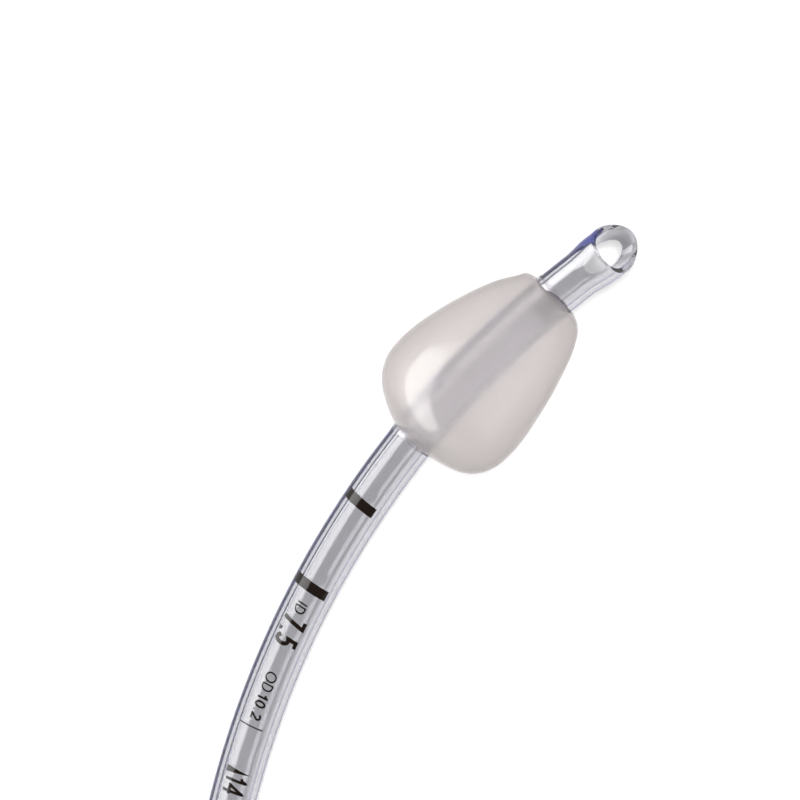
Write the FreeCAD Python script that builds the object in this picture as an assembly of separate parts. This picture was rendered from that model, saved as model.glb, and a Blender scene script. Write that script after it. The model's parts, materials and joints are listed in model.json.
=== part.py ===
# Cuffed endotracheal tube, size 7.5, lying on a flat surface as it comes to rest.
#
# The tube is laid out flat first: its machine end at the origin, heading +Y, then one long
# bend towards +X, in the plane Z = 0. A station is a distance along the centreline from the
# machine end. At the end of the file the whole tube is tipped onto its three supports, which
# are the cuff, the middle of the bend and the connector's flange.
# All sizes are in millimetres.
import FreeCAD
import Part
import math
import os

# Shaft: one clear extrusion, bent to a single radius
tube_length = 320.0
tube_od = 10.2
tube_id = 7.5
bend_radius = 213.0

# Machine end, stretched over the connector's spigot
socket_length = 12.0
socket_taper = 4.0

# Tip, formed in a mould: it flares a little, then runs straight to the bevel
flare_length = 5.8
flare_growth = 1.1
tip_length = 9.6

# Bevel, open upwards: set back from the tip's end at the upper lip and at mid-height
bevel_setback = 9.2
bevel_mid_setback = 6.1
lip_round = 0.35

# Eye through the lower wall, opposite the bevel
eye_length = 9.5
eye_width = 5.5
eye_to_tip = 4.4

# Inflation lumen inside the wall, its inlet for the inflation line and its port in the cuff
lumen_d = 0.5
lumen_from_top = 36.0
inlet_to_tip = 190.0
inlet_length = 6.0
inlet_width = 1.9
port_into_cuff = 13.0
port_length = 3.0
port_width = 1.1
lumen_past_opening = 4.0

# Cuff: one blown film, turned in and bonded to the shaft at both ends
cuff_to_tip = 22.4
cuff_length = 44.1
cuff_radius = 17.4
cuff_film = 0.15
collar_wall = 0.2
collar_length = 5.0
collar_margin = 0.7
# Outline as shares of the cuff's length and of the rise from the shaft to the greatest radius
cuff_outline = [
    (0.000, 0.000),
    (0.010, 0.130),
    (0.040, 0.415),
    (0.085, 0.690),
    (0.145, 0.875),
    (0.215, 0.975),
    (0.295, 1.000),
    (0.395, 0.978),
    (0.505, 0.908),
    (0.625, 0.805),
    (0.745, 0.672),
    (0.855, 0.520),
    (0.935, 0.358),
    (0.980, 0.235),
    (0.998, 0.100),
    (1.000, 0.000),
]

# Connector: spigot, flange with two ears, and the 15 mm male cone
spigot_length = 11.5
spigot_wall = 0.8
spigot_lead = 0.5
flange_d = 17.6
flange_thickness = 2.4
flange_bevel = 0.5
ear_span = 25.0
ear_width = 9.0
cone_length = 16.0
cone_large_d = 15.47
cone_taper = 1.0 / 40.0
mouth_d = 12.4
mouth_depth = 13.0
mouth_bevel = 0.4
socket_gap = 0.3

# How far a cut runs on past the surface that it goes through
cut_margin = 1.0

CENTRE = FreeCAD.Vector(0, 0, 0)
UP = FreeCAD.Vector(0, 0, 1)

tube_r = tube_od / 2
lumen_wall = (tube_od - tube_id) / 2
straight_end = socket_length + socket_taper
arc_length = tube_length - straight_end - flare_length - tip_length
arc_end = straight_end + arc_length
bend_centre = FreeCAD.Vector(bend_radius, straight_end, 0)
tip_r = tube_r + flare_growth / 2
tip_bore_r = tip_r - lumen_wall
spigot_r = tube_id / 2 + spigot_wall
# The stretched wall keeps the area of its section
socket_r = math.sqrt(spigot_r ** 2 + tube_r ** 2 - (tube_id / 2) ** 2)
cuff_end = tube_length - cuff_to_tip
cuff_start = cuff_end - cuff_length
collar_r = tube_r + collar_wall
lumen_centre_r = tube_r - lumen_wall / 2


def frame_at(station):
    """The cross-section at a station: X to the outside of the bend, Y up, Z towards the tip."""
    bent = min(max(station - straight_end, 0.0), arc_length)
    angle = bent / bend_radius
    ahead = FreeCAD.Vector(math.sin(angle), math.cos(angle), 0)
    outside = FreeCAD.Vector(-math.cos(angle), math.sin(angle), 0)
    place = bend_centre + outside * bend_radius + ahead * (station - straight_end - bent)
    matrix = FreeCAD.Matrix(
        outside.x, UP.x, ahead.x, place.x,
        outside.y, UP.y, ahead.y, place.y,
        outside.z, UP.z, ahead.z, place.z,
        0, 0, 0, 1,
    )
    return FreeCAD.Placement(matrix)


def placed(shape, placement):
    """The shape moved from its own axes to a placement."""
    shape = shape.copy()
    shape.Placement = placement.multiply(shape.Placement)
    return shape


def disc_wire(radius):
    """A circle round the local Z axis."""
    return Part.Wire([Part.Circle(CENTRE, UP, radius).toShape()])


def bent_rod(radius, start, end, offset=None):
    """A round rod along the bend between two stations, offset in the cross-section if stated."""
    wire = disc_wire(radius)
    if offset is not None:
        wire.translate(offset)
    face = Part.Face(placed(wire, frame_at(start)))
    return face.revolve(bend_centre, -UP, math.degrees((end - start) / bend_radius))


def turned(outline, placement=None):
    """A solid of revolution round local Z from (radius, height) corners."""
    corners = [FreeCAD.Vector(radius, 0, height) for radius, height in outline]
    wire = Part.makePolygon(corners + [corners[0]])
    solid = Part.Face(wire).revolve(CENTRE, UP, 360)
    return placed(solid, placement) if placement is not None else solid


def shaft_core(socket, wall_r, tip_wall_r):
    """The shaft's outside or its bore, as a solid: socket, bend, flare and tip."""
    socket_end = turned(
        [(0, 0), (socket, 0), (socket, socket_length), (wall_r, straight_end), (0, straight_end)],
        frame_at(0),
    )
    bend = bent_rod(wall_r, straight_end, arc_end)
    tip = turned(
        [
            (0, 0),
            (wall_r, 0),
            (tip_wall_r, flare_length),
            (tip_wall_r, flare_length + tip_length + cut_margin),
            (0, flare_length + tip_length + cut_margin),
        ],
        frame_at(arc_end),
    )
    return socket_end.fuse([bend, tip]).removeSplitter()


def bevel_circle():
    """The bevel's cut from the side: a circle through the lower lip, mid-height and upper lip."""
    low = FreeCAD.Vector(0, -tip_r, 0)
    middle = FreeCAD.Vector(0, 0, -bevel_mid_setback)
    high = FreeCAD.Vector(0, tip_r, -bevel_setback)
    return Part.Arc(low, middle, high).toShape().Curve


def bevel_tool():
    """Everything past the bevel. Its cut runs on below the lower lip and above the upper one."""
    circle = bevel_circle()
    past = tip_r + cut_margin
    reach = 2 * tip_r
    points = []
    for height in (-past, 0, past):
        back = math.sqrt(circle.Radius ** 2 - (height - circle.Center.y) ** 2)
        points.append(FreeCAD.Vector(0, height, circle.Center.z - back))
    low, middle, high = points
    low_end = FreeCAD.Vector(0, low.y, reach)
    high_end = FreeCAD.Vector(0, high.y, reach)
    edges = [
        Part.Arc(low, middle, high).toShape(),
        Part.makeLine(high, high_end),
        Part.makeLine(high_end, low_end),
        Part.makeLine(low_end, low),
    ]
    face = Part.Face(Part.Wire(edges))
    face.translate(FreeCAD.Vector(-past, 0, 0))
    return placed(face.extrude(FreeCAD.Vector(2 * past, 0, 0)), frame_at(tube_length))


def oval_prism(length, width, low, high):
    """An oval column along local Y, its long axis along the tube."""
    oval = Part.Ellipse(CENTRE, length / 2, width / 2).toShape()
    face = Part.Face(Part.Wire([oval]))
    face.rotate(CENTRE, FreeCAD.Vector(0, 1, 0), 90)
    face.rotate(CENTRE, FreeCAD.Vector(0, 0, 1), 90)
    face.translate(FreeCAD.Vector(0, low, 0))
    return face.extrude(FreeCAD.Vector(0, high - low, 0))


def opening_into_lumen(station, length, width):
    """An oval cut from the outside of the wall to the middle of the inflation lumen."""
    column = oval_prism(length, width, lumen_centre_r, tube_r + cut_margin)
    column.rotate(CENTRE, UP, -lumen_from_top)
    return placed(column, frame_at(station))


def make_shaft():
    outside = shaft_core(socket_r, tube_r, tip_r)
    bore = shaft_core(spigot_r, tube_id / 2, tip_bore_r)
    shaft = outside.cut(bore).cut(bevel_tool())
    bevel_r = bevel_circle().Radius
    rims = [
        edge
        for face in shaft.Faces
        if isinstance(face.Surface, Part.Cylinder) and abs(face.Surface.Radius - bevel_r) < 0.001
        for edge in face.Edges
    ]
    shaft = shaft.makeFillet(lip_round, rims)
    eye = oval_prism(eye_length, eye_width, -tip_r - cut_margin, 0)
    shaft = shaft.cut(placed(eye, frame_at(tube_length - eye_to_tip - eye_length / 2)))
    inlet = tube_length - inlet_to_tip
    port = cuff_start + port_into_cuff
    angle = math.radians(lumen_from_top)
    offset = FreeCAD.Vector(math.sin(angle), math.cos(angle), 0) * lumen_centre_r
    lumen = bent_rod(
        lumen_d / 2,
        inlet - inlet_length / 2 - lumen_past_opening,
        port + port_length / 2 + lumen_past_opening,
        offset,
    )
    cuts = [
        lumen,
        opening_into_lumen(inlet, inlet_length, inlet_width),
        opening_into_lumen(port, port_length, port_width),
    ]
    return shaft.cut(cuts)


def cuff_frame():
    """The cuff's own axes: it is blown straight, so Z is the chord between its two ends."""
    start = frame_at(cuff_start)
    end = frame_at(cuff_end)
    chord = end.Base - start.Base
    turn = FreeCAD.Rotation(start.Rotation.multVec(UP), chord)
    return FreeCAD.Placement(start.Base, turn.multiply(start.Rotation)), chord.Length


def cuff_corners():
    """The film's outer outline as (radius, height) corners over the cuff's axes."""
    length = cuff_frame()[1]
    rise = cuff_radius - tube_r
    return [(tube_r + high * rise, along * length) for along, high in cuff_outline]


def set_in(corners, depth):
    """An open outline moved by a depth to the axis side, its end corners kept at their radius."""
    moved = []
    last = len(corners) - 1
    for index, (radius, height) in enumerate(corners):
        before = corners[max(index - 1, 0)]
        after = corners[min(index + 1, last)]
        along = math.atan2(after[1] - before[1], after[0] - before[0])
        moved.append((radius - depth * math.sin(along), height + depth * math.cos(along)))
    moved[0] = (corners[0][0], corners[0][1] + depth)
    moved[-1] = (corners[-1][0], corners[-1][1] - depth)
    return moved


def make_cuff():
    outer = cuff_corners()
    inner = set_in(outer, cuff_film)
    film = turned(outer + inner[::-1], cuff_frame()[0])
    collars = [
        bent_rod(collar_r, cuff_start - collar_margin, cuff_start + collar_length),
        bent_rod(collar_r, cuff_end - collar_length, cuff_end + collar_margin),
    ]
    shaft_space = bent_rod(
        tube_r, cuff_start - 2 * collar_margin, cuff_end + 2 * collar_margin
    )
    return film.fuse(collars).cut(shaft_space).removeSplitter()


def make_connector():
    """Turned round the machine end's axis, with Z from the tube towards the spigot's end."""
    bore_r = tube_id / 2
    mouth_r = mouth_d / 2
    face = -socket_gap
    back = face - flange_thickness
    mouth = back - cone_length
    large_r = cone_large_d / 2
    small_r = large_r - cone_length * cone_taper / 2
    body = turned(
        [
            (bore_r, spigot_length),
            (spigot_r - spigot_lead / 2, spigot_length),
            (spigot_r, spigot_length - spigot_lead),
            (spigot_r, face),
            (flange_d / 2, face),
            (flange_d / 2, back),
            (large_r, back),
            (small_r, mouth + mouth_bevel),
            (small_r - mouth_bevel, mouth),
            (mouth_r, mouth),
            (mouth_r, mouth + mouth_depth),
            (bore_r, mouth + mouth_depth + mouth_r - bore_r),
        ]
    )
    half = (ear_span - ear_width) / 2
    ears = Part.makeBox(
        2 * half, ear_width, flange_thickness, FreeCAD.Vector(-half, -ear_width / 2, back)
    )
    tips = [
        Part.makeCylinder(ear_width / 2, flange_thickness, FreeCAD.Vector(side, 0, back))
        for side in (-half, half)
    ]
    ears = ears.fuse(tips).cut(
        Part.makeCylinder(large_r, flange_thickness, FreeCAD.Vector(0, 0, back))
    )
    body = body.fuse(ears).removeSplitter()
    rims = [
        edge
        for edge in body.Edges
        if edge.BoundBox.ZLength < 0.01
        and back - 0.01 < edge.BoundBox.ZMin < face + 0.01
        and min(math.hypot(v.X, v.Y) for v in edge.Vertexes) > large_r + 0.01
    ]
    return placed(body.makeChamfer(flange_bevel, rims), frame_at(0))


def support_rows():
    """What can touch the surface, as rows of round sections: flange, shaft and cuff."""
    flange_end = -socket_gap - flange_thickness
    flange = [
        (frame_at(-socket_gap - flange_bevel), flange_d / 2),
        (frame_at(flange_end + flange_bevel), flange_d / 2),
    ]
    steps = 200
    shaft_step = (cuff_start - straight_end) / steps
    shaft = [
        (frame_at(straight_end + shaft_step * step), tube_r) for step in range(steps + 1)
    ]
    axes = cuff_frame()[0]
    cuff = [
        (axes.multiply(FreeCAD.Placement(FreeCAD.Vector(0, 0, height), FreeCAD.Rotation())), radius)
        for radius, height in cuff_corners()
    ]
    return [flange, shaft, cuff]


def height_over(plane, rows):
    """The least height of a row of round sections over the surface, for a tilted tube."""
    slope_x, slope_y, rise = plane
    size = math.sqrt(1 + slope_x ** 2 + slope_y ** 2)
    heights = []
    for place, radius in rows:
        ahead = place.Rotation.multVec(UP)
        climb = (slope_x * ahead.x + slope_y * ahead.y) / size
        height = (rise + slope_x * place.Base.x + slope_y * place.Base.y) / size
        heights.append(height - radius * math.sqrt(1 - climb ** 2))
    return min(heights)


def resting_plane():
    """Slopes and rise that bring all three supports to the surface, by Newton's method."""
    rows = support_rows()
    plane = [0.0, 0.0, cuff_radius]
    nudge = 1e-4
    for _ in range(12):
        heights = [height_over(plane, row) for row in rows]
        columns = []
        for index in range(3):
            moved = list(plane)
            moved[index] = moved[index] + nudge
            columns.append([(height_over(moved, row) - height) / nudge
                            for row, height in zip(rows, heights)])
        matrix = FreeCAD.Matrix(
            columns[0][0], columns[1][0], columns[2][0], 0,
            columns[0][1], columns[1][1], columns[2][1], 0,
            columns[0][2], columns[1][2], columns[2][2], 0,
            0, 0, 0, 1,
        )
        step = matrix.inverse().multVec(FreeCAD.Vector(*heights))
        plane = [plane[0] - step.x, plane[1] - step.y, plane[2] - step.z]
    return plane


def resting_placement():
    """Turns the flat layout onto its supports, with the machine end heading +Y from above."""
    slope_x, slope_y, rise = resting_plane()
    size = math.sqrt(1 + slope_x ** 2 + slope_y ** 2)
    surface_up = FreeCAD.Vector(slope_x, slope_y, 1) * (1 / size)
    ahead = FreeCAD.Vector(0, 1, 0)
    level_y = ahead - surface_up * ahead.dot(surface_up)
    level_y.normalize()
    level_x = level_y.cross(surface_up)
    matrix = FreeCAD.Matrix(
        level_x.x, level_x.y, level_x.z, 0,
        level_y.x, level_y.y, level_y.z, 0,
        surface_up.x, surface_up.y, surface_up.z, rise / size,
        0, 0, 0, 1,
    )
    return FreeCAD.Placement(matrix)


nodes = {
    "tube_shaft": make_shaft(),
    "cuff": make_cuff(),
    "connector": make_connector(),
}
rest = resting_placement()
nodes = {name: placed(shape, rest) for name, shape in nodes.items()}
box = Part.makeCompound(list(nodes.values())).optimalBoundingBox(False)
to_origin = FreeCAD.Placement(
    FreeCAD.Vector(-box.Center.x, -box.Center.y, -box.ZMin), FreeCAD.Rotation()
)
rest = to_origin.multiply(rest)
os.makedirs("parts", exist_ok=True)
for name, shape in nodes.items():
    placed(shape, to_origin).exportStep("parts/" + name + ".step")
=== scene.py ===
import json
import math

import bmesh
import bpy
from mathutils import Matrix, Vector


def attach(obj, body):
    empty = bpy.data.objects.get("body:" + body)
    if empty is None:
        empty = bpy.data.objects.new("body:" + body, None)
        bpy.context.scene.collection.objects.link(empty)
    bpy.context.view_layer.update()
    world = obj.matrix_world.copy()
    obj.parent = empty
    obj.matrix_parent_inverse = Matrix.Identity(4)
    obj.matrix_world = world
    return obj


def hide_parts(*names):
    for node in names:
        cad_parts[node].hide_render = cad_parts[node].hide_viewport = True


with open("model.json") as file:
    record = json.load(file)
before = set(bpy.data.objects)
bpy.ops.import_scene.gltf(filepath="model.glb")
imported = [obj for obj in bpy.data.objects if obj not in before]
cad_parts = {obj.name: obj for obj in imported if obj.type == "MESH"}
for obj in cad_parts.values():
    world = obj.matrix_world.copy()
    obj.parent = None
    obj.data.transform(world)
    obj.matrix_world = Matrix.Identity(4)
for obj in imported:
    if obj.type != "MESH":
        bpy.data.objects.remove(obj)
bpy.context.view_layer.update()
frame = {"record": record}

# Sizes of the part, in millimetres, under the names that they have in its source
tube_length = 320.0
tube_r = 5.1
bore_r = 3.75
bend_radius = 213.0
socket_length = 12.0
straight_end = 16.0
flare_length = 5.8
tip_length = 9.6
tip_r = 5.65
tip_bore_r = 4.3
tip_skin_r = tip_r - 0.02
spigot_r = 4.55
socket_r = 5.714
bevel_setback = 9.2
bevel_mid_setback = 6.1
lip_round = 0.35
eye_length = 9.5
eye_width = 5.5
eye_to_tip = 4.4
lumen_r = 0.25
lumen_centre_r = 4.425
lumen_from_top = 36.0
lumen_start = 123.0
lumen_end = 272.0
inlet_station = 130.0
inlet_length = 6.0
inlet_width = 1.9
port_station = 266.5
port_length = 3.0
port_width = 1.1
cuff_start = 253.5
cuff_end = 297.6
cuff_radius = 17.4
cuff_film = 0.15
collar_r = 5.3
collar_length = 5.0
collar_margin = 0.7
cuff_outline = [
    (0.000, 0.000), (0.010, 0.130), (0.040, 0.415), (0.085, 0.690), (0.145, 0.875),
    (0.215, 0.975), (0.295, 1.000), (0.395, 0.978), (0.505, 0.908), (0.625, 0.805),
    (0.745, 0.672), (0.855, 0.520), (0.935, 0.358), (0.980, 0.235), (0.998, 0.100),
    (1.000, 0.000),
]
spigot_length = 11.5
flange_d = 17.6
flange_thickness = 2.4
ear_span = 25.0
ear_width = 9.0
cone_length = 16.0
cone_large_r = 7.735
cone_small_r = 7.535
mouth_r = 6.2
mouth_depth = 13.0
socket_gap = 0.3
bore_mount_station = 4.125

# A hair of air between pieces that touch, so that no two surfaces coincide
SKIN_GAP = 0.012

arc_end = tube_length - flare_length - tip_length
bend_centre = Vector((bend_radius, straight_end, 0))
UP = Vector((0, 0, 1))


def row_matrix():
    """From the flat layout in millimetres to the row frame in metres, by two of the mounts."""
    mounts = {mount["name"]: mount for mount in frame["record"]["mounts"]}
    bore = mounts["connector_bore"]
    seal = mounts["cuff_seal"]
    ahead = -Vector(bore["axis"])
    across = Vector(seal["pos_m"]) - Vector(bore["pos_m"])
    side = (across - ahead * across.dot(ahead)).normalized()
    up = side.cross(ahead)
    origin = Vector(bore["pos_m"]) - ahead * bore_mount_station / 1000
    turn = Matrix((side, ahead, up)).transposed().to_4x4()
    return Matrix.Translation(origin) @ turn @ Matrix.Scale(0.001, 4)


TO_ROW = row_matrix()


def section(station):
    """Place, outside direction and heading of the centreline at a station, laid out flat."""
    bent = min(max(station - straight_end, 0.0), arc_end - straight_end)
    angle = bent / bend_radius
    ahead = Vector((math.sin(angle), math.cos(angle), 0))
    outside = Vector((-math.cos(angle), math.sin(angle), 0))
    place = bend_centre + outside * bend_radius + ahead * (station - straight_end - bent)
    return place, outside, ahead


def on_tube(station, radius, angle):
    """A point of the flat layout; the angle runs in radians from the top to the outside."""
    place, outside, _ = section(station)
    return place + outside * (radius * math.sin(angle)) + UP * (radius * math.cos(angle))


def angles(count):
    """Evenly spaced angles round a circle, in radians."""
    return [math.tau * c / count for c in range(count)]


def turned(profile, count, start=0.0):
    """Rings round the centreline, one for each (station, radius) of a profile."""
    around = angles(count)
    return [[on_tube(station, radius, angle + start) for angle in around] for station, radius in profile]


def ease(value):
    """A smooth step from 0 to 1."""
    value = min(max(value, 0.0), 1.0)
    return value * value * (3 - 2 * value)


def wall_radius(station, socket, wall, tip):
    """Radius of the outside or the bore along the shaft."""
    if station < straight_end:
        taper = ease((station - socket_length) / (straight_end - socket_length))
        return wall + (socket - wall) * (1 - taper)
    return wall + (tip - wall) * ease((station - arc_end) / flare_length)


def outer_radius(station):
    return wall_radius(station, socket_r, tube_r, tip_skin_r)


def inner_radius(station):
    return wall_radius(station, spigot_r + SKIN_GAP, bore_r, tip_bore_r)


def bevel_circle():
    """Centre and radius of the bevel's arc, through three points of height and distance past the tip."""
    points = ((-tip_r, 0.0), (0.0, -bevel_mid_setback), (tip_r, -bevel_setback))
    area = height = past = 0.0
    for point, following, last in zip(points, points[1:] + points[:1], points[2:] + points[:2]):
        square = point[0] ** 2 + point[1] ** 2
        area += point[0] * (following[1] - last[1])
        height += square * (following[1] - last[1])
        past += square * (last[0] - following[0])
    centre = (height / (2 * area), past / (2 * area))
    return centre, math.hypot(points[0][0] - centre[0], points[0][1] - centre[1])


BEVEL_CENTRE, BEVEL_RADIUS = bevel_circle()


def bevel_station(height):
    """Station of the bevel's cut at a height above the centreline."""
    return tube_length + BEVEL_CENTRE[1] - math.sqrt(BEVEL_RADIUS ** 2 - (height - BEVEL_CENTRE[0]) ** 2)


def piece(name, verts, faces, material, smooth_deg=32.0):
    """A piece in the row frame from points of the flat layout."""
    mesh = bpy.data.meshes.new(name)
    mesh.from_pydata([TO_ROW @ Vector(v) for v in verts], [], faces)
    mesh.validate()
    work = bmesh.new()
    work.from_mesh(mesh)
    bmesh.ops.recalc_face_normals(work, faces=work.faces)
    work.to_mesh(mesh)
    work.free()
    obj = bpy.data.objects.new(name, mesh)
    bpy.context.scene.collection.objects.link(obj)
    if material is not None:
        mesh.materials.append(material)
        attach(obj, "root")
        shade(obj, smooth_deg)
    return obj


def shade(obj, smooth_deg):
    """Smooth shading, with edges kept sharp where they are steeper than an angle."""
    obj.data.polygons.foreach_set("use_smooth", [True] * len(obj.data.polygons))
    obj.data.set_sharp_from_angle(angle=math.radians(smooth_deg))
    obj.data.update()


def grid(rows, ring=False):
    """Points and quads of a grid; it closes round each row, and from last row to first if asked."""
    count = len(rows[0])
    verts = [point for row in rows for point in row]
    faces = []
    for r in range(len(rows) if ring else len(rows) - 1):
        nxt = (r + 1) % len(rows)
        for c in range(count):
            d = (c + 1) % count
            faces.append((r * count + c, r * count + d, nxt * count + d, nxt * count + c))
    return verts, faces


def capped(rows):
    """A closed tube from rings, with flat ends."""
    verts, faces = grid(rows)
    count = len(rows[0])
    faces.append(tuple(range(count)))
    faces.append(tuple(len(verts) - 1 - c for c in range(count)))
    return verts, faces


def joined(parts):
    """Several parts' points and faces as one."""
    verts, faces = [], []
    for some_verts, some_faces in parts:
        start = len(verts)
        verts.extend(some_verts)
        faces.extend(tuple(index + start for index in face) for face in some_faces)
    return verts, faces


def cut_away(obj, tools):
    """Cuts tool meshes out of a piece, one after another."""
    for verts, faces in tools:
        tool = piece("tool", verts, faces, None)
        cut = obj.modifiers.new("cut", "BOOLEAN")
        cut.operation = "DIFFERENCE"
        cut.solver = "EXACT"
        cut.object = tool
        bpy.context.view_layer.update()
        graph = bpy.context.evaluated_depsgraph_get()
        made = bpy.data.meshes.new_from_object(obj.evaluated_get(graph), depsgraph=graph)
        obj.modifiers.clear()
        obj.data = made
        bpy.data.objects.remove(tool)


def spread(start, end, count):
    """Evenly spaced values in a number of steps, both ends included."""
    return [start + (end - start) * index / count for index in range(count + 1)]


# Materials

NOISE_DETAIL = 3.0
# The noise seldom leaves this range
NOISE_SPAN = (0.3, 0.7)


def new_material(name):
    material = bpy.data.materials.new(name)
    material.use_nodes = True
    tree = material.node_tree
    shader = tree.nodes["Principled BSDF"]
    return material, tree, shader


def noise_into(tree, socket, scale, low, high):
    """Object-space noise, mapped to a range, into a socket."""
    coords = tree.nodes.new("ShaderNodeTexCoord")
    noise = tree.nodes.new("ShaderNodeTexNoise")
    noise.inputs["Scale"].default_value = scale
    noise.inputs["Detail"].default_value = NOISE_DETAIL
    span = tree.nodes.new("ShaderNodeMapRange")
    span.inputs["From Min"].default_value = NOISE_SPAN[0]
    span.inputs["From Max"].default_value = NOISE_SPAN[1]
    span.inputs["To Min"].default_value = low
    span.inputs["To Max"].default_value = high
    tree.links.new(coords.outputs["Object"], noise.inputs["Vector"])
    tree.links.new(noise.outputs["Fac"], span.inputs["Value"])
    tree.links.new(span.outputs["Result"], socket)
    return noise


def bump_from(tree, shader, noise, distance, strength):
    bump = tree.nodes.new("ShaderNodeBump")
    bump.inputs["Strength"].default_value = strength
    bump.inputs["Distance"].default_value = distance
    tree.links.new(noise.outputs["Fac"], bump.inputs["Height"])
    tree.links.new(bump.outputs["Normal"], shader.inputs["Normal"])


def rim_colour_with_painted_shade(tree, shader, start, end, face_on, at_rim):
    """A clear piece's colour, from where it is seen face on to its rims; the rim colour is painted shade.
    """
    edge = tree.nodes.new("ShaderNodeLayerWeight")
    edge.inputs["Blend"].default_value = 0.5
    span = tree.nodes.new("ShaderNodeMapRange")
    span.inputs["From Min"].default_value = start
    span.inputs["From Max"].default_value = end
    blend = tree.nodes.new("ShaderNodeMix")
    blend.data_type = "RGBA"
    blend.inputs["A"].default_value = (*face_on, 1)
    blend.inputs["B"].default_value = (*at_rim, 1)
    tree.links.new(edge.outputs["Facing"], span.inputs["Value"])
    tree.links.new(span.outputs["Result"], blend.inputs["Factor"])
    tree.links.new(blend.outputs["Result"], shader.inputs["Base Color"])


# Painted shade: the clear shaft turns this blue towards its rims by viewing angle, for the dark blue edges
# of a clear tube
PAINTED_RIM_SHADE_BLUE = (0.10, 0.11, 0.44)
# Painted shade: the tip's lower wall is darkened within these distances of a place this far from the tip,
# for the shadow seen through it
TIP_SHADE_SETBACK = 3.0
TIP_SHADE_SPAN_M = (0.0045, 0.0080)
TIP_PAINTED_SHADE_COLOUR = (0.58, 0.58, 0.60)
# Painted light: within these distances of the cuff's middle the shaft is left out of the darker tint it has
# elsewhere, so it looks lighter and bluer, and its shadow is softer
CUFF_SPAN_M = (0.0205, 0.0225)
OUTSIDE_CUFF_TINT = (0.868, 0.868, 0.88)
CUFF_PAINTED_LIGHT_TINT = (0.958, 0.965, 1.0)
SOFT_SHADOW = (0.96, 0.96, 1.0)


def near(tree, place, span, within=1.0, beyond=0.0):
    """One value within the first distance of a place of the flat layout, one past the second."""
    coords = tree.nodes.new("ShaderNodeTexCoord")
    reach = tree.nodes.new("ShaderNodeVectorMath")
    reach.operation = "DISTANCE"
    reach.inputs[1].default_value = TO_ROW @ place
    fade = tree.nodes.new("ShaderNodeMapRange")
    fade.inputs["From Min"].default_value = span[0]
    fade.inputs["From Max"].default_value = span[1]
    fade.inputs["To Min"].default_value = within
    fade.inputs["To Max"].default_value = beyond
    tree.links.new(coords.outputs["Object"], reach.inputs[0])
    tree.links.new(reach.outputs["Value"], fade.inputs["Value"])
    return fade.outputs["Result"]


def tint(tree, shader, colour, share):
    """Multiplies a clear piece's colour where the share is 1."""
    clear = shader.inputs["Base Color"].links[0].from_socket
    tinted = tree.nodes.new("ShaderNodeMix")
    tinted.data_type = "RGBA"
    tinted.blend_type = "MULTIPLY"
    tinted.inputs["B"].default_value = (*colour, 1)
    tree.links.new(share, tinted.inputs["Factor"])
    tree.links.new(clear, tinted.inputs["A"])
    tree.links.new(tinted.outputs["Result"], shader.inputs["Base Color"])


def see_through_shadow(tree, shader, colour, share=None):
    """Lets light pass on to the floor; the share is 1 where it isn't given."""
    path = tree.nodes.new("ShaderNodeLightPath")
    factor = path.outputs["Is Shadow Ray"]
    if share is not None:
        both = tree.nodes.new("ShaderNodeMath")
        both.operation = "MULTIPLY"
        tree.links.new(factor, both.inputs[0])
        tree.links.new(share, both.inputs[1])
        factor = both.outputs["Value"]
    clear = tree.nodes.new("ShaderNodeBsdfTransparent")
    clear.inputs["Color"].default_value = (*colour, 1)
    mix = tree.nodes.new("ShaderNodeMixShader")
    tree.links.new(factor, mix.inputs[0])
    tree.links.new(shader.outputs["BSDF"], mix.inputs[1])
    tree.links.new(clear.outputs["BSDF"], mix.inputs[2])
    tree.links.new(mix.outputs["Shader"], tree.nodes["Material Output"].inputs["Surface"])


def clear_pvc():
    """Clear PVC, with painted shade (blue rims by viewing angle, a darker tip wall) and painted light (a
    lighter shaft inside the cuff).
    """
    material, tree, shader = new_material("clear_pvc")
    shader.inputs["Transmission Weight"].default_value = 1.0
    shader.inputs["IOR"].default_value = 1.53
    # Painted shade: blue at the rims, by viewing angle
    rim_colour_with_painted_shade(tree, shader, 0.50, 0.82, (1, 1, 1), PAINTED_RIM_SHADE_BLUE)
    # Painted shade on the tip's lower wall
    low_wall = on_tube(tube_length - TIP_SHADE_SETBACK, tip_r, math.pi)
    tint(tree, shader, TIP_PAINTED_SHADE_COLOUR, near(tree, low_wall, TIP_SHADE_SPAN_M))
    cuff_middle = section((cuff_start + cuff_end) / 2)[0]
    # Painted light: the darker tint stops at the cuff, and a bluer one goes inside it, so the shaft looks
    # lighter there
    tint(tree, shader, OUTSIDE_CUFF_TINT, near(tree, cuff_middle, CUFF_SPAN_M, 0.0, 1.0))
    tint(tree, shader, CUFF_PAINTED_LIGHT_TINT, near(tree, cuff_middle, CUFF_SPAN_M))
    see_through_shadow(tree, shader, SOFT_SHADOW, near(tree, cuff_middle, CUFF_SPAN_M))
    noise_into(tree, shader.inputs["Roughness"], 45, 0.012, 0.03)
    absorb = tree.nodes.new("ShaderNodeVolumeAbsorption")
    absorb.inputs["Color"].default_value = (0.42, 0.412, 0.47, 1)
    absorb.inputs["Density"].default_value = 165
    tree.links.new(absorb.outputs["Volume"], tree.nodes["Material Output"].inputs["Volume"])
    return material


def collar_film():
    """The film where it is bonded flat: as clear as the shaft."""
    material, tree, shader = new_material("collar_film")
    shader.inputs["Base Color"].default_value = (0.97, 0.96, 0.98, 1)
    shader.inputs["Transmission Weight"].default_value = 1.0
    shader.inputs["IOR"].default_value = 1.5
    noise = noise_into(tree, shader.inputs["Roughness"], 200, 0.03, 0.07)
    bump_from(tree, shader, noise, 0.00001, 0.2)
    return material


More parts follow.
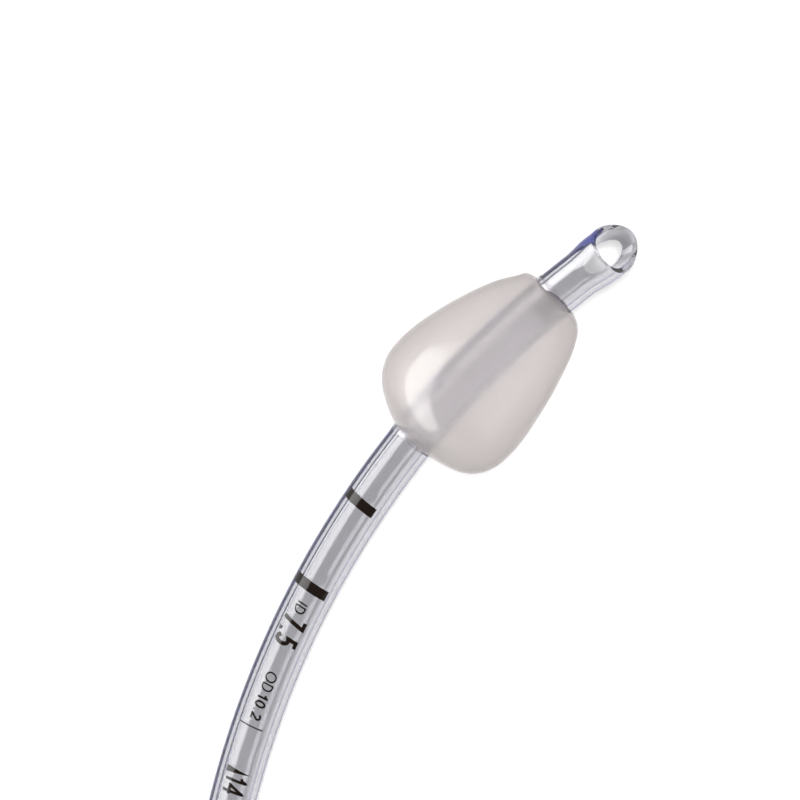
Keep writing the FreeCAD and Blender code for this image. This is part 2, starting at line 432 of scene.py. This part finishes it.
def cuff_film_material():
    """Frosted film: blurred to see through, a little milky, and greyer at its rims as painted shade."""
    material, tree, shader = new_material("cuff_film")
    # Painted shade: the film's colour turns greyer and pinker towards its rims by viewing angle
    rim_colour_with_painted_shade(tree, shader, 0.45, 1.0, (0.905, 0.893, 0.89), (0.60, 0.53, 0.53))
    shader.inputs["Transmission Weight"].default_value = 0.76
    shader.inputs["IOR"].default_value = 1.45
    noise = noise_into(tree, shader.inputs["Roughness"], 160, 0.17, 0.235)
    bump_from(tree, shader, noise, 0.00001, 0.15)
    absorb = tree.nodes.new("ShaderNodeVolumeAbsorption")
    absorb.inputs["Color"].default_value = (0.80, 0.745, 0.73, 1)
    absorb.inputs["Density"].default_value = 2000
    tree.links.new(absorb.outputs["Volume"], tree.nodes["Material Output"].inputs["Volume"])
    see_through_shadow(tree, shader, (0.90, 0.89, 0.885))
    return material


def plastic(name, colour, rough_low, rough_high, grain):
    """An opaque plastic or ink with a fine grain."""
    material, tree, shader = new_material(name)
    shader.inputs["Base Color"].default_value = (*colour, 1)
    noise = noise_into(tree, shader.inputs["Roughness"], grain, rough_low, rough_high)
    bump_from(tree, shader, noise, 0.00002, 0.3)
    return material


PVC = clear_pvc()
FILM = cuff_film_material()
COLLAR = collar_film()
CONNECTOR = plastic("connector_plastic", (0.80, 0.83, 0.86), 0.28, 0.40, 300)
STRIPE = plastic("stripe_blue", (0.020, 0.034, 0.36), 0.3, 0.5, 400)
INK = plastic("print_ink", (0.020, 0.012, 0.009), 0.08, 0.16, 900)
INK.node_tree.nodes["Principled BSDF"].inputs["Specular IOR Level"].default_value = 0.32


# Tube shaft

AROUND = 160
LIP_STEPS = 8
END_CHAMFER = 0.12
SOCKET_ROWS = 8
TAPER_ROWS = 10
BEND_ROWS = 165
TIP_ROWS = 44
EYE_AROUND = 96
# The eye's rims: how far from the wall's surfaces, and how much wider the cut is there
EYE_RIM = [(-1.2, 0.30), (-0.3, 0.22), (0.0, 0.15), (0.07, 0.07), (0.16, 0.02), (0.3, 0.0)]
LUMEN_AROUND = 16
LUMEN_ROWS = 300
POCKET_AROUND = 32
POCKET_EDGE_DEPTH = 0.12
POCKET_EDGE_GROWTH = 0.08
CUT_CLEARANCE = 0.5


def lip_arc(angle, side):
    """The rounding of one lip edge at an angle, as (station, radius) points from wall to cut.

    Side is 1 for the edge on the outside and -1 for the edge on the bore.
    """
    radius = tip_skin_r if side > 0 else tip_bore_r
    height = radius * math.cos(angle)
    step = 0.01
    slope = math.cos(angle) * (bevel_station(height + step) - bevel_station(height - step)) / (2 * step)
    wall = Vector((-1, 0))
    cut = Vector((-side * slope, -side)).normalized()
    half = wall.angle(cut) / 2
    corner = Vector((bevel_station(height), radius))
    middle = corner + (wall + cut).normalized() * (lip_round / math.sin(half))
    first = Vector((0, side))
    last = Vector((1, -slope)).normalized()
    return [middle + first.slerp(last, share) * lip_round for share in spread(0, 1, LIP_STEPS)]


def tip_row(radius_of, arcs, share):
    """A row between the end of the bend and the lip's rounding."""
    row = []
    for arc, angle in zip(arcs, angles(AROUND)):
        station = arc_end + (arc[0][0] - arc_end) * share
        row.append(on_tube(station, radius_of(station), angle))
    return row


def lip_row(arcs, index):
    """A row of the lip's rounding."""
    return [on_tube(*arc[index], angle) for arc, angle in zip(arcs, angles(AROUND))]


def make_shaft():
    """The shaft's wall, along its outside, round the lip and back through the bore."""
    along = spread(END_CHAMFER, socket_length, SOCKET_ROWS)[:-1]
    along += spread(socket_length, straight_end, TAPER_ROWS)[:-1]
    along += spread(straight_end, arc_end, BEND_ROWS)
    tip_shares = spread(0, 1, TIP_ROWS)[1:-1]
    outer_arcs = [lip_arc(angle, 1) for angle in angles(AROUND)]
    inner_arcs = [lip_arc(angle, -1) for angle in angles(AROUND)]
    rows = turned([(s, outer_radius(s)) for s in along], AROUND)
    rows += [tip_row(outer_radius, outer_arcs, share) for share in tip_shares]
    rows += [lip_row(outer_arcs, index) for index in range(LIP_STEPS + 1)]
    rows += [lip_row(inner_arcs, index) for index in reversed(range(LIP_STEPS + 1))]
    rows += [tip_row(inner_radius, inner_arcs, share) for share in reversed(tip_shares)]
    rows += turned([(s, inner_radius(s)) for s in reversed(along)], AROUND)
    rows += turned([(0, inner_radius(0) + END_CHAMFER), (0, outer_radius(0) - END_CHAMFER)], AROUND)
    verts, faces = grid(rows, ring=True)
    return piece("tube_shaft", verts, faces, PVC)


def eye_tool():
    """The eye's column, wider where it meets the wall's two sides so that its rims are round."""
    wall = tip_r - tip_bore_r
    steps = EYE_RIM + [(wall - depth, grow) for depth, grow in reversed(EYE_RIM)]
    middle = tube_length - eye_to_tip - eye_length / 2
    rows = []
    for depth, grow in steps:
        row = []
        for turn in angles(EYE_AROUND):
            side = (eye_width / 2 + grow) * math.cos(turn)
            station = middle + (eye_length / 2 + grow) * math.sin(turn)
            radius = inner_radius(station) + depth
            row.append(on_tube(station, radius, math.pi + math.asin(side / radius)))
        rows.append(row)
    return capped(rows)


def lumen_tool():
    """The inflation lumen inside the wall."""
    turn = math.radians(lumen_from_top)
    rows = []
    for station in spread(lumen_start, lumen_end, LUMEN_ROWS):
        place, outside, _ = section(station)
        radial = outside * math.sin(turn) + UP * math.cos(turn)
        across = outside * math.cos(turn) - UP * math.sin(turn)
        rows.append([
            place + radial * (lumen_centre_r + lumen_r * math.sin(lap)) + across * lumen_r * math.cos(lap)
            for lap in angles(LUMEN_AROUND)
        ])
    return capped(rows)


def pocket_tool(middle, length, width):
    """An oval opening from the shaft's outside into the lumen."""
    turn = math.radians(lumen_from_top)
    rows = []
    for radius in (lumen_centre_r, tube_r - POCKET_EDGE_DEPTH, tube_r, tube_r + CUT_CLEARANCE):
        grow = POCKET_EDGE_GROWTH if radius >= tube_r else 0.0
        row = []
        for lap in angles(POCKET_AROUND):
            side = (width / 2 + grow) * math.cos(lap)
            station = middle + (length / 2 + grow) * math.sin(lap)
            row.append(on_tube(station, radius, turn + math.asin(side / radius)))
        rows.append(row)
    return capped(rows)


shaft = make_shaft()
cut_away(shaft, [
    eye_tool(),
    lumen_tool(),
    joined([
        pocket_tool(inlet_station, inlet_length, inlet_width),
        pocket_tool(port_station, port_length, port_width),
    ]),
])
shade(shaft, 32)
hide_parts("tube_shaft")


# Blue line inside the wall, along the outside of the bend

STRIPE_ANGLE = 94.0
STRIPE_HALF = 13.0
STRIPE_TIP_ANGLE = 77.0
STRIPE_TIP_HALF = 27.0
STRIPE_DEPTHS = (0.35, 1.05)
STRIPE_EDGE = 0.12
# How far its ends stay inside the shaft's
STRIPE_START = 0.6
STRIPE_SETBACK = 0.04
STRIPE_ACROSS = 12
STRIPE_ROWS = 110
STRIPE_TIP_ROWS = 24


def make_stripe():
    """The line as a closed bar that widens towards the tip."""
    steps = spread(-1, 1, STRIPE_ACROSS)
    rows = []
    stations = spread(STRIPE_START, straight_end, SOCKET_ROWS)[:-1]
    stations += spread(straight_end, arc_end, STRIPE_ROWS)[:-1]

    def loop(station_of, spread_out=0.0):
        row = []
        middle = STRIPE_ANGLE + (STRIPE_TIP_ANGLE - STRIPE_ANGLE) * spread_out
        half = STRIPE_HALF + (STRIPE_TIP_HALF - STRIPE_HALF) * spread_out
        for depth, inward, order in ((STRIPE_DEPTHS[0], 1, steps), (STRIPE_DEPTHS[1], -1, steps[::-1])):
            for share in order:
                angle = math.radians(middle + half * share)
                thin = depth + (STRIPE_EDGE * inward if abs(share) == 1 else 0)
                station = station_of(angle, thin)
                row.append(on_tube(station, outer_radius(station) - thin, angle))
        return row

    def towards_bevel(share, angle, thin):
        last = bevel_station((tip_r - thin) * math.cos(angle)) - STRIPE_SETBACK
        return arc_end + share * (last - arc_end)

    for station in stations:
        rows.append(loop(lambda angle, thin: station))
    for share in spread(0, 1, STRIPE_TIP_ROWS):
        rows.append(loop(lambda angle, thin: towards_bevel(share, angle, thin), ease(share)))
    verts, faces = capped(rows)
    piece("blue_line", verts, faces, STRIPE, 50)


make_stripe()


# Cuff

# Steps along each stretch between two corners of its outline
CURVE_STEPS = 24


def smooth_outline(corners, count):
    """A smooth curve through the outline's corners, spaced evenly along its length."""
    points = [Vector((a, b)) for a, b in corners]
    points = [points[0] * 2 - points[1]] + points + [points[-1] * 2 - points[-2]]
    dense = []
    for i in range(1, len(points) - 2):
        p0, p1, p2, p3 = points[i - 1:i + 3]
        d1, d2, d3 = ((p1 - p0).length ** 0.5, (p2 - p1).length ** 0.5, (p3 - p2).length ** 0.5)
        m1 = (p2 - p1) + d2 * ((p1 - p0) / d1 - (p2 - p0) / (d1 + d2))
        m2 = (p2 - p1) + d2 * ((p3 - p2) / d3 - (p3 - p1) / (d2 + d3))
        for step in range(CURVE_STEPS):
            t = step / CURVE_STEPS
            dense.append(
                p1 * (2 * t ** 3 - 3 * t ** 2 + 1) + m1 * (t ** 3 - 2 * t ** 2 + t)
                + p2 * (-2 * t ** 3 + 3 * t ** 2) + m2 * (t ** 3 - t ** 2)
            )
    dense.append(points[-2])
    lengths = [0.0]
    for a, b in zip(dense, dense[1:]):
        lengths.append(lengths[-1] + (b - a).length)
    made = []
    index = 0
    for wanted in spread(0, lengths[-1], count):
        while index < len(lengths) - 2 and lengths[index + 1] < wanted:
            index += 1
        share = (wanted - lengths[index]) / (lengths[index + 1] - lengths[index])
        made.append(dense[index].lerp(dense[index + 1], min(max(share, 0), 1)))
    return made


# The inflated film follows the shaft's bend only in part, and leans a little at its wide end
CUFF_BOW = 0.4
CUFF_SIDE = 0.55
CUFF_LEAN = 0.045
CUFF_SLIM = 0.025
# Share of its length over which it leaves the shaft's centreline at each end
CUFF_SETTLE = 0.06
CUFF_LOWEST_M = 0.00003
CUFF_AROUND = 144
OUTLINE_POINTS = 120
CLEAR_OF_COLLAR = 0.05
# A collar's edge: a steep step to just under its top, then a short ramp
COLLAR_STEP = 0.02
COLLAR_EDGE = 0.06
COLLAR_RAMP = 0.12
COLLAR_ROWS = 8


def cuff_point(height, radius, angle):
    """A point of the film at a height along the chord between the cuff's two ends."""
    length = cuff_end - cuff_start
    share = height / length
    start = section(cuff_start)[0]
    end = section(cuff_end)[0]
    ahead = (end - start).normalized()
    outside = UP.cross(ahead)
    bowed = section(cuff_start + height)[0] - start.lerp(end, share)
    settled = ease(share / CUFF_SETTLE) * ease((1 - share) / CUFF_SETTLE)
    centre = start.lerp(end, share) + bowed * CUFF_BOW - outside * CUFF_SIDE * settled
    lean = CUFF_LEAN * (1 - share) * (radius - tube_r) * math.sin(angle)
    slim = radius - CUFF_SLIM
    return centre + ahead * lean + outside * (slim * math.sin(angle)) + UP * (slim * math.cos(angle))


def make_cuff():
    """The film of the cuff and its two bonded ends."""
    length = cuff_end - cuff_start
    rise = cuff_radius - tube_r
    corners = [(along * length, tube_r + high * rise) for along, high in cuff_outline]
    line = smooth_outline(corners, OUTLINE_POINTS)
    line = [p for p in line if p.y > collar_r + CLEAR_OF_COLLAR]
    inner = []
    for i, p in enumerate(line):
        ahead = (line[min(i + 1, len(line) - 1)] - line[max(i - 1, 0)]).normalized()
        normal = Vector((-ahead.y, ahead.x))
        inner.append(p - normal * cuff_film)
    rows = [[cuff_point(p.x, p.y, turn) for turn in angles(CUFF_AROUND)] for p in line + inner[::-1]]
    verts, faces = grid(rows, ring=True)
    cuff = piece("cuff", verts, faces, FILM, 40)
    for vertex in cuff.data.vertices:
        vertex.co.z = max(vertex.co.z, CUFF_LOWEST_M)
    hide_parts("cuff")
    parts = []
    for low, high in (
        (cuff_start - collar_margin, cuff_start + collar_length),
        (cuff_end - collar_length, cuff_end + collar_margin),
    ):
        along = spread(low, high, COLLAR_ROWS)
        inside_r = tube_r + SKIN_GAP
        edge_r = collar_r - COLLAR_EDGE
        profile = [(low, inside_r), (low + COLLAR_STEP, edge_r), (low + COLLAR_RAMP, collar_r)]
        profile += [(s, collar_r) for s in along[1:-1]]
        profile += [(high - COLLAR_RAMP, collar_r), (high - COLLAR_STEP, edge_r), (high, inside_r)]
        profile += [(s, inside_r) for s in along[-2:0:-1]]
        parts.append(grid(turned(profile, CUFF_AROUND), ring=True))
    verts, faces = joined(parts)
    piece("cuff_collars", verts, faces, COLLAR, 40)


make_cuff()


# Connector

CONNECTOR_AROUND = 192
# Rounding of the flange's edges
FLANGE_SOFT = 0.45
# A ring on the flange's face, between the round spigot and the outline with the ears
FACE_RING_R = 7.0


def flange_edge(inset):
    """Outline of the flange with its two ears, as radii over the angle."""
    ear_r = ear_width / 2 - inset
    ear_x = (ear_span - ear_width) / 2
    reach = flange_d / 2 - inset
    made = []
    for angle in angles(CONNECTOR_AROUND):
        x, y = abs(math.cos(angle)), abs(math.sin(angle))
        if y > 1e-6 and ear_r / y * x < ear_x:
            ear = ear_r / y
        else:
            ear = ear_x * x + math.sqrt(max(ear_r ** 2 - (ear_x * y) ** 2, 0))
        made.append((angle, max(reach, ear)))
    return made


def make_connector():
    """The moulding from the spigot's end over the flange and the cone, and back through the bore.

    The small numbers in its profile are chamfers and roundings.
    """
    face = -socket_gap
    back = face - flange_thickness
    mouth = back - cone_length
    mouth_end = mouth + mouth_depth
    funnel_end = mouth_end + mouth_r - bore_r
    ears_out = math.pi / 2

    def outline(station, inset):
        return [on_tube(station, radius, angle + ears_out) for angle, radius in flange_edge(inset)]

    rows = turned([
        (spigot_length, bore_r + 0.1), (spigot_length, spigot_r - 0.35),
        (spigot_length - 0.1, spigot_r - 0.2), (spigot_length - 0.5, spigot_r),
        (spigot_length / 2, spigot_r), (face + 0.25, spigot_r),
        (face + 0.07, spigot_r + 0.07), (face, spigot_r + 0.25), (face, FACE_RING_R),
    ], CONNECTOR_AROUND, ears_out)
    quarter = [math.radians(a) for a in spread(0, 90, 4)]
    for side, station, order in ((-1, face, quarter), (1, back, quarter[::-1])):
        for a in order:
            inward = side * FLANGE_SOFT * (1 - math.cos(a))
            rows.append(outline(station + inward, FLANGE_SOFT * (1 - math.sin(a))))
    slope = (cone_large_r - cone_small_r) / cone_length
    rows += turned([
        (back, cone_large_r + 0.25), (back - 0.07, cone_large_r + 0.07),
        (back - 0.25, cone_large_r - 0.25 * slope),
        (back - cone_length / 2, (cone_large_r + cone_small_r) / 2),
        (mouth + 0.4, cone_small_r + 0.4 * slope),
        (mouth + 0.12, cone_small_r - 0.12), (mouth, cone_small_r - 0.4),
        (mouth, mouth_r + 0.25), (mouth + 0.07, mouth_r + 0.07), (mouth + 0.25, mouth_r),
        (mouth + mouth_depth / 2, mouth_r), (mouth_end - 0.2, mouth_r), (mouth_end + 0.2, mouth_r - 0.2),
        (funnel_end - 0.15, bore_r + 0.15), (funnel_end + 0.15, bore_r),
        (spigot_length / 2, bore_r), (spigot_length - 0.1, bore_r),
    ], CONNECTOR_AROUND, ears_out)
    verts, faces = grid(rows, ring=True)
    connector = piece("connector", verts, faces, CONNECTOR, 35)
    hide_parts("connector")


make_connector()


# Printed marks, a thin layer of ink on the shaft

INK_LOW = tube_r + 0.006
INK_HIGH = tube_r + 0.03
# The printing runs a little askew round the tube
INK_SLANT = 0.1
BAND_STEPS = 40
WEDGE_STEPS = 16
# Half the width of a wedge's thin end
WEDGE_POINT = 0.02
# Longest step along a stroke, and how far a mitre between two steps may reach
STROKE_STEP = 0.25
MITRE_LIMIT = 0.6
# The size of the point, as a share of the letters' height
POINT_SHARE = 0.16


def ink_point(station, radius, angle):
    """A point of the printing, askew by the slant."""
    return on_tube(station + INK_SLANT * tube_r * (math.sin(angle) - 0.5), radius, angle)


def ink_strip(rows):
    """A thin strip from its lower and upper outline, which run along one side and back."""
    verts, faces = grid(rows)
    count = len(rows[0])
    for base in (0, count):
        for i in range(count // 2 - 1):
            faces.append((base + i, base + i + 1, base + count - 2 - i, base + count - 1 - i))
    return verts, faces


def ink_band(station, width, left_deg, right_deg):
    """A ring mark, round part of the tube; left is towards the outside of the bend."""
    steps = spread(math.radians(left_deg), math.radians(-right_deg), BAND_STEPS)
    half = width / 2
    rows = [
        [ink_point(station + half, radius, angle) for angle in steps]
        + [ink_point(station - half, radius, angle) for angle in reversed(steps)]
        for radius in (INK_LOW, INK_HIGH)
    ]
    return ink_strip(rows)


def bend(middle_x, middle_y, wide, high, first_deg, last_deg, count):
    """Points along part of an ellipse."""
    return [
        (middle_x + wide * math.cos(math.radians(a)), middle_y + high * math.sin(math.radians(a)))
        for a in spread(first_deg, last_deg, count)
    ]


# Plain lettering as strokes, one unit high, with each letter's width
LETTERS = {
    "I": (0.12, [[(0.06, 0.0), (0.06, 1.0)]]),
    "D": (0.64, [[(0.06, 0.04), (0.06, 0.96), (0.26, 0.96)] + bend(0.26, 0.5, 0.32, 0.46, 75, -75, 8)
                 + [(0.26, 0.04), (0.03, 0.04)]]),
    "O": (0.84, [bend(0.42, 0.5, 0.38, 0.46, 0, 360, 26)]),
    "0": (0.58, [bend(0.29, 0.5, 0.22, 0.45, 0, 360, 20)]),
    "1": (0.40, [[(0.04, 0.70), (0.18, 0.78), (0.28, 0.97), (0.28, 0.0)]]),
    "2": (0.58, [bend(0.28, 0.71, 0.21, 0.24, 165, -25, 9) + [(0.09, 0.06), (0.53, 0.06)]]),
    "4": (0.66, [[(0.46, 0.0), (0.46, 0.93), (0.07, 0.30), (0.64, 0.30)]]),
    "5": (0.58, [[(0.50, 0.94), (0.15, 0.94), (0.11, 0.54)] + bend(0.27, 0.32, 0.23, 0.27, 115, -150, 12)]),
    "6": (0.60, [bend(0.30, 0.31, 0.22, 0.26, 0, 360, 18), bend(0.55, 0.34, 0.47, 0.62, 108, 180, 8)]),
    "7": (0.56, [[(0.02, 0.93), (0.50, 0.93), (0.20, 0.0)]]),
    "8": (0.58, [bend(0.29, 0.27, 0.22, 0.24, 0, 360, 18), bend(0.29, 0.74, 0.18, 0.22, 0, 360, 16)]),
    ".": (0.18, [[(0.09, 0.0), (0.09, 0.16)]]),
}
LETTER_GAP = 0.14


def stroke_line(points, place, half):
    """One stroke of ink as a thin bent bar along points of the flat lettering."""
    fine = []
    for (x0, y0), (x1, y1) in zip(points, points[1:]):
        count = max(1, math.ceil(math.hypot(x1 - x0, y1 - y0) / STROKE_STEP))
        fine += [Vector((x0 + (x1 - x0) * k / count, y0 + (y1 - y0) * k / count)) for k in range(count)]
    closed = (Vector(points[0]) - Vector(points[-1])).length < 1e-6
    if not closed:
        fine.append(Vector(points[-1]))
    last = len(fine) - 1
    rows = []
    for i, point in enumerate(fine):
        before = fine[i - 1] if closed else fine[max(i - 1, 0)]
        after = fine[(i + 1) % len(fine)] if closed else fine[min(i + 1, last)]
        came = (point - before).normalized() if point != before else (after - point).normalized()
        goes = (after - point).normalized() if after != point else came
        ahead = (came + goes).normalized()
        reach = half / max(ahead.dot(goes), MITRE_LIMIT)
        side = Vector((-ahead.y, ahead.x)) * reach
        rows.append([
            place(point + side, INK_LOW), place(point - side, INK_LOW),
            place(point - side, INK_HIGH), place(point + side, INK_HIGH),
        ])
    return grid(rows, ring=True) if closed else capped(rows)


def ink_words(body, station, side, height, weight, stretch=1.0):
    """Lettering bent onto the shaft; it reads towards the machine end."""
    length = sum(LETTERS[letter][0] + LETTER_GAP for letter in body) - LETTER_GAP
    scale = height * stretch
    start = -length * scale / 2

    def place(point, radius):
        return ink_point(station - point.x, radius, math.radians(side) - (point.y - height / 2) / tube_r)

    parts = []
    for letter in body:
        width, strokes = LETTERS[letter]
        half = POINT_SHARE * height / 2 if letter == "." else weight / 2
        for stroke in strokes:
            points = [(start + x * scale, y * height) for x, y in stroke]
            parts.append(stroke_line(points, place, half))
        start += (width + LETTER_GAP) * scale
    return joined(parts)


def ink_wedge(station, side, length_deg, width):
    """A pointer across the tube, thick towards the outside of the bend."""
    steps = spread(0, 1, WEDGE_STEPS)
    rows = []
    for radius in (INK_LOW, INK_HIGH):
        row = []
        for sign, order in ((1, steps), (-1, steps[::-1])):
            for share in order:
                angle = math.radians(side + length_deg * (0.5 - share))
                half = width / 2 * (1 - share) + WEDGE_POINT
                row.append(ink_point(station + sign * half, radius, angle))
        rows.append(row)
    return ink_strip(rows)


DEPTH_NUMBERS = ("14", "16", "18", "20", "22", "24")
FIRST_WEDGE = 171.2
DEPTH_STEP = 20
# From a wedge to the middle of its number
NUMBER_SETBACK = 3.2


def make_prints():
    """The printed marks; stations count from the machine end, angles are in degrees."""
    marks = [
        ink_band(236.3, 2.35, 61, 35),
        ink_band(215.0, 2.35, 67, 41),
        ink_words("ID", 209.9, 6, 2.4, 0.36, 1.2),
        ink_words("7", 206.6, 4, 5.6, 0.92, 0.60),
        ink_words(".", 204.1, 6, 5.4, 0.86),
        ink_words("5", 202.0, 3, 5.1, 0.90, 0.74),
        ink_words("OD", 192.3, 1, 2.5, 0.36, 1.1),
        ink_words("10.2", 186.3, 2, 2.3, 0.46, 1.2),
        ink_band(181.7, 0.30, 38, 26),
    ]
    for index, number in enumerate(DEPTH_NUMBERS):
        station = FIRST_WEDGE - DEPTH_STEP * index
        marks.append(ink_wedge(station, 1, 64, 1.45))
        marks.append(ink_words(number, station - NUMBER_SETBACK, 0, 5.0, 0.64, 0.72))
    verts, faces = joined(marks)
    piece("printed_marks", verts, faces, INK, 50)


make_prints()


# Camera, square to the bend's plane with the tip a little nearer

PX_PER_MM = 4.6
FRAME_PX = 800
PHOTO_CENTRE = (1180.0, 1048.0)
PHOTO_TURN = math.radians(25.48)
TILT = math.radians(7.0)
TILT_HEADING = math.radians(45.0)
CAMERA_MM = 1000.0
SENSOR_MM = 36.0

image_right = Vector((math.cos(PHOTO_TURN), -math.sin(PHOTO_TURN), 0))
image_up = Vector((math.sin(PHOTO_TURN), math.cos(PHOTO_TURN), 0))
target = (
    bend_centre
    + image_right * ((FRAME_PX / 2 - PHOTO_CENTRE[0]) / PX_PER_MM)
    + image_up * ((PHOTO_CENTRE[1] - FRAME_PX / 2) / PX_PER_MM)
)
lean = image_up * math.cos(TILT_HEADING) + image_right * math.sin(TILT_HEADING)
back = UP * math.cos(TILT) + lean * math.sin(TILT)
top = (image_up - back * image_up.dot(back)).normalized()
right = top.cross(back)
turn = TO_ROW.to_3x3() * 1000
view = Matrix((turn @ right, turn @ top, turn @ back)).transposed().to_4x4()
camera_data = bpy.data.cameras.new("camera")
camera_data.sensor_width = SENSOR_MM
camera_data.lens = SENSOR_MM * CAMERA_MM * PX_PER_MM / FRAME_PX
camera_data.clip_start = 0.05
camera_data.clip_end = 20.0
camera = bpy.data.objects.new("camera", camera_data)
camera.matrix_world = Matrix.Translation(TO_ROW @ (target + back * CAMERA_MM)) @ view
bpy.context.scene.collection.objects.link(camera)
bpy.context.scene.camera = camera


# Floor, world and lamps

FLOOR_HALF_M = 6.0
FLOOR_DROP_M = 0.0002
FLOOR_GREY = 0.86
FLOOR_GLOW = 0.48
# The white wall goes over into a dim ceiling between these heights of the sky
WALL_TOP = 0.35
CEILING_START = 0.7
WALL_LEVEL = 1.0
CEILING_LEVEL = 0.12
AMBIENT_SHARE = 0.55
KEY_STRENGTH = 1.5
KEY_SPREAD_DEG = 6.0
KEY_DIRECTION = (-0.02, 0.03, 1.0)
CARD_LEVEL = 5.2
CARD_OFF_AXIS_DEG = 66.0
CARD_DISTANCE = 1.03
CARD_LENGTH = 2.4
CARD_REACH = 1.22


def backdrop_material():
    """White cloth: lit like any surface, and seen a little brighter than lit."""
    material, tree, shader = new_material("backdrop")
    shader.inputs["Base Color"].default_value = (FLOOR_GREY, FLOOR_GREY, FLOOR_GREY, 1)
    shader.inputs["Roughness"].default_value = 0.9
    shader.inputs["Specular IOR Level"].default_value = 0.0
    glow = tree.nodes.new("ShaderNodeEmission")
    path = tree.nodes.new("ShaderNodeLightPath")
    seen = path.outputs["Is Camera Ray"]
    for name in ("Is Glossy Ray", "Is Transmission Ray"):
        either = tree.nodes.new("ShaderNodeMath")
        either.operation = "MAXIMUM"
        tree.links.new(seen, either.inputs[0])
        tree.links.new(path.outputs[name], either.inputs[1])
        seen = either.outputs[0]
    share = tree.nodes.new("ShaderNodeMath")
    share.operation = "MULTIPLY"
    share.inputs[1].default_value = FLOOR_GLOW
    tree.links.new(seen, share.inputs[0])
    tree.links.new(share.outputs[0], glow.inputs["Strength"])
    add = tree.nodes.new("ShaderNodeAddShader")
    tree.links.new(shader.outputs["BSDF"], add.inputs[0])
    tree.links.new(glow.outputs["Emission"], add.inputs[1])
    tree.links.new(add.outputs["Shader"], tree.nodes["Material Output"].inputs["Surface"])
    return material


floor_mesh = bpy.data.meshes.new("floor")
corner_signs = ((-1, -1), (1, -1), (1, 1), (-1, 1))
floor_corners = [(x * FLOOR_HALF_M, y * FLOOR_HALF_M, -FLOOR_DROP_M) for x, y in corner_signs]
floor_mesh.from_pydata(floor_corners, [], [(0, 1, 2, 3)])
floor_mesh.materials.append(backdrop_material())
floor = bpy.data.objects.new("floor", floor_mesh)
bpy.context.scene.collection.objects.link(floor)

world = bpy.data.worlds.new("studio")
bpy.context.scene.world = world
world.use_nodes = True
nodes, links = world.node_tree.nodes, world.node_tree.links
background = nodes["Background"]
background.inputs["Color"].default_value = (1, 1, 1, 1)
coords = nodes.new("ShaderNodeTexCoord")
heading = nodes.new("ShaderNodeSeparateXYZ")
links.new(coords.outputs["Generated"], heading.inputs["Vector"])
level = nodes.new("ShaderNodeMapRange")
level.interpolation_type = "SMOOTHSTEP"
level.inputs["From Min"].default_value = WALL_TOP
level.inputs["From Max"].default_value = CEILING_START
level.inputs["To Min"].default_value = WALL_LEVEL
level.inputs["To Max"].default_value = CEILING_LEVEL
links.new(heading.outputs["Z"], level.inputs["Value"])
path = nodes.new("ShaderNodeLightPath")
dim = nodes.new("ShaderNodeMapRange")
dim.inputs["To Min"].default_value = 1.0
dim.inputs["To Max"].default_value = AMBIENT_SHARE
links.new(path.outputs["Is Diffuse Ray"], dim.inputs["Value"])
both = nodes.new("ShaderNodeMath")
both.operation = "MULTIPLY"
links.new(level.outputs["Result"], both.inputs[0])
links.new(dim.outputs["Result"], both.inputs[1])
links.new(both.outputs[0], background.inputs["Strength"])

view_turn = view.to_3x3()
centre = TO_ROW @ target


def panel(name, direction, distance, width, height, power):
    """A soft lamp that faces the object from a direction in the photo's axes."""
    data = bpy.data.lights.new(name, "AREA")
    data.shape = "RECTANGLE"
    data.size = width
    data.size_y = height
    data.energy = power
    lamp = bpy.data.objects.new(name, data)
    away = (view_turn @ Vector(direction)).normalized()
    lamp.location = centre + away * distance
    lamp.rotation_mode = "QUATERNION"
    lamp.rotation_quaternion = away.to_track_quat("Z", "Y")
    bpy.context.scene.collection.objects.link(lamp)
    return lamp


sun_data = bpy.data.lights.new("key_lamp", "SUN")
sun_data.energy = KEY_STRENGTH
sun_data.angle = math.radians(KEY_SPREAD_DEG)
sun = bpy.data.objects.new("key_lamp", sun_data)
sun.rotation_mode = "QUATERNION"
sun.rotation_quaternion = (view_turn @ Vector(KEY_DIRECTION)).to_track_quat("Z", "Y")
sun.location = centre + view_turn @ Vector(KEY_DIRECTION)
sun.visible_transmission = False
sun.visible_glossy = False
bpy.context.scene.collection.objects.link(sun)

# A card that lights no matt surface: its reflections are the light zones on the shaft
off_axis = math.radians(CARD_OFF_AXIS_DEG)
card_side = (-math.sin(off_axis), 0.0, math.cos(off_axis))
card_power = CARD_LEVEL * math.pi * CARD_LENGTH * CARD_REACH
card = panel("left_card", card_side, CARD_DISTANCE, CARD_LENGTH, CARD_REACH, card_power)
card.visible_diffuse = False

bpy.context.scene.view_settings.view_transform = "Standard"
